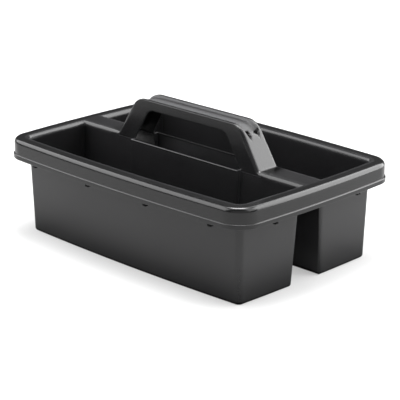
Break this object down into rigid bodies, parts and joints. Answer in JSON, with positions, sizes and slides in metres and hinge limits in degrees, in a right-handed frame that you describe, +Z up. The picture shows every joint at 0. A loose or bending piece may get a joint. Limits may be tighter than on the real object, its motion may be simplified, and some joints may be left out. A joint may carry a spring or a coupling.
{
  "type": "tool storage caddy",
  "caption": "Open carry caddy with two deep tubs under a shared skirted rim and a raised central handle with finger openings.",
  "frame": {"origin": "centre of the footprint on the floor, under the middle of the handle", "axes": "+X along the length and the handle, +Y across the two tubs, +Z up"},
  "size_m": [0.4064, 0.2786, 0.1708],
  "materials": {
    "tub_plastic": "black polypropylene with a fine satin grain on the tub walls and floors",
    "rim_plastic": "black polypropylene with a fine satin grain, a little smoother on the rolled rim and deck",
    "handle_plastic": "black polypropylene, satin, polished slightly by handling along the grip",
    "rib_plastic": "black polypropylene, plain moulded finish on the ribs under the rim"
  },
  "bodies": {
    "root": {"front_tub_floor": "tub_plastic", "front_tub_outer_wall": "tub_plastic", "front_tub_left_end": "tub_plastic", "front_tub_right_end": "tub_plastic", "front_tub_spine_wall": "tub_plastic", "rear_tub_floor": "tub_plastic", "rear_tub_outer_wall": "tub_plastic", "rear_tub_left_end": "tub_plastic", "rear_tub_right_end": "tub_plastic", "rear_tub_spine_wall": "tub_plastic", "rim_front": "rim_plastic", "rim_rear": "rim_plastic", "rim_left": "rim_plastic", "rim_right": "rim_plastic", "deck_left": "rim_plastic", "deck_right": "rim_plastic", "handle_left_leg": "handle_plastic", "handle_right_leg": "handle_plastic", "handle_crown": "handle_plastic", "handle_front_web": "handle_plastic", "handle_rear_web": "handle_plastic", "stacking_ribs_front": "rib_plastic", "stacking_ribs_rear": "rib_plastic", "stacking_ribs_left": "rib_plastic", "stacking_ribs_right": "rib_plastic"}
  },
  "joints": []
}
